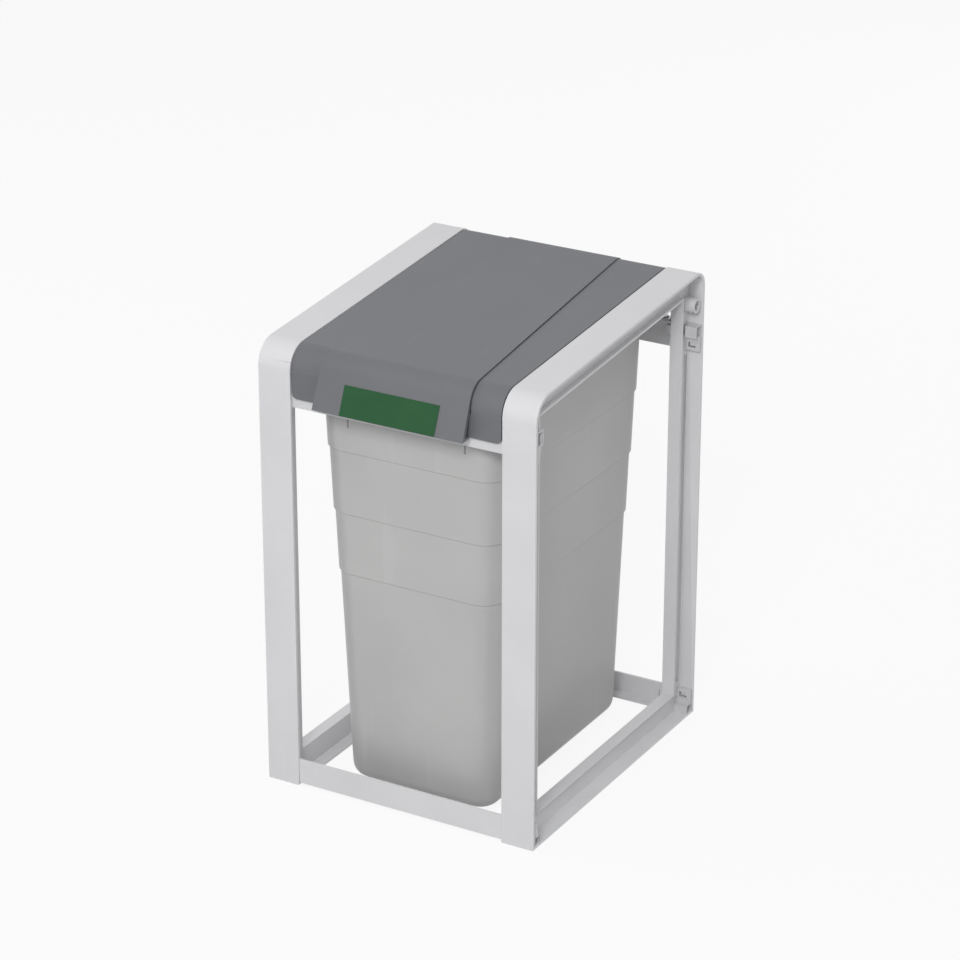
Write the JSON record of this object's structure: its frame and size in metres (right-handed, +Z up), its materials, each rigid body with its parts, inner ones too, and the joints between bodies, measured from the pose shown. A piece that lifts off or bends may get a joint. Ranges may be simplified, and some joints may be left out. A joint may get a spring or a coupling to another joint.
{
  "type": "waste bin station with hinged hood",
  "caption": "Free-standing open frame that carries a lift-out waste bin under a hinged hood with a throw-in flap.",
  "frame": {"origin": "middle of the footprint on the floor, from the label plate to the rear face", "axes": "+Z up, -Y towards the user at the front, +X to the right"},
  "size_m": [0.4, 0.4706, 0.6448],
  "materials": {
    "frame_metal": "satin powder coat, light grey",
    "connector_plastic": "moulded, light grey",
    "hood_plastic": "satin, dark grey",
    "bin_plastic": "moulded, mid grey",
    "label": "plain green plate",
    "steel": "zinc plated",
    "rubber": "matte black"
  },
  "bodies": {
    "frame": {"left_bow": "frame_metal", "right_bow": "frame_metal", "left_bottom_rail": "frame_metal", "right_bottom_rail": "frame_metal", "front_bottom_crossbar": "frame_metal", "rear_bottom_crossbar": "frame_metal", "front_top_crossbar": "frame_metal", "rear_top_crossbar": "frame_metal", "left_front_bottom_connector": "connector_plastic", "right_front_bottom_connector": "connector_plastic", "left_rear_bottom_connector": "connector_plastic", "right_rear_bottom_connector": "connector_plastic", "left_front_top_connector": "connector_plastic", "right_front_top_connector": "connector_plastic", "left_rear_top_connector": "connector_plastic", "right_rear_top_connector": "connector_plastic", "connector_screws": "steel", "left_coupling_boss": "connector_plastic", "right_coupling_boss": "connector_plastic", "left_hinge_bracket": "steel", "right_hinge_bracket": "steel", "bracket_screws": "steel", "hood_buffers": "rubber"},
    "hood": {"hood": "hood_plastic", "hood_hinge_pins": "steel", "flap_buffers": "rubber", "flap_hinge_pins": "steel"},
    "flap": {"flap": "hood_plastic", "label_plate": "label"},
    "bin": {"bin": "bin_plastic"}
  },
  "joints": [
    {"name": "hood_hinge", "type": "hinge", "parent": "frame", "child": "hood", "pos_m": [0, 0.22125, 0.62594], "axis": [-1, 0, 0], "range_deg": [0, 85]},
    {"name": "flap_hinge", "type": "hinge", "parent": "hood", "child": "flap", "pos_m": [0, 0.22125, 0.62594], "axis": [-1, 0, 0], "range_deg": [0, 75]},
    {"name": "bin_lift", "type": "slide", "parent": "frame", "child": "bin", "axis": [0, 0, 1], "range_m": [0, 0.011]}
  ]
}
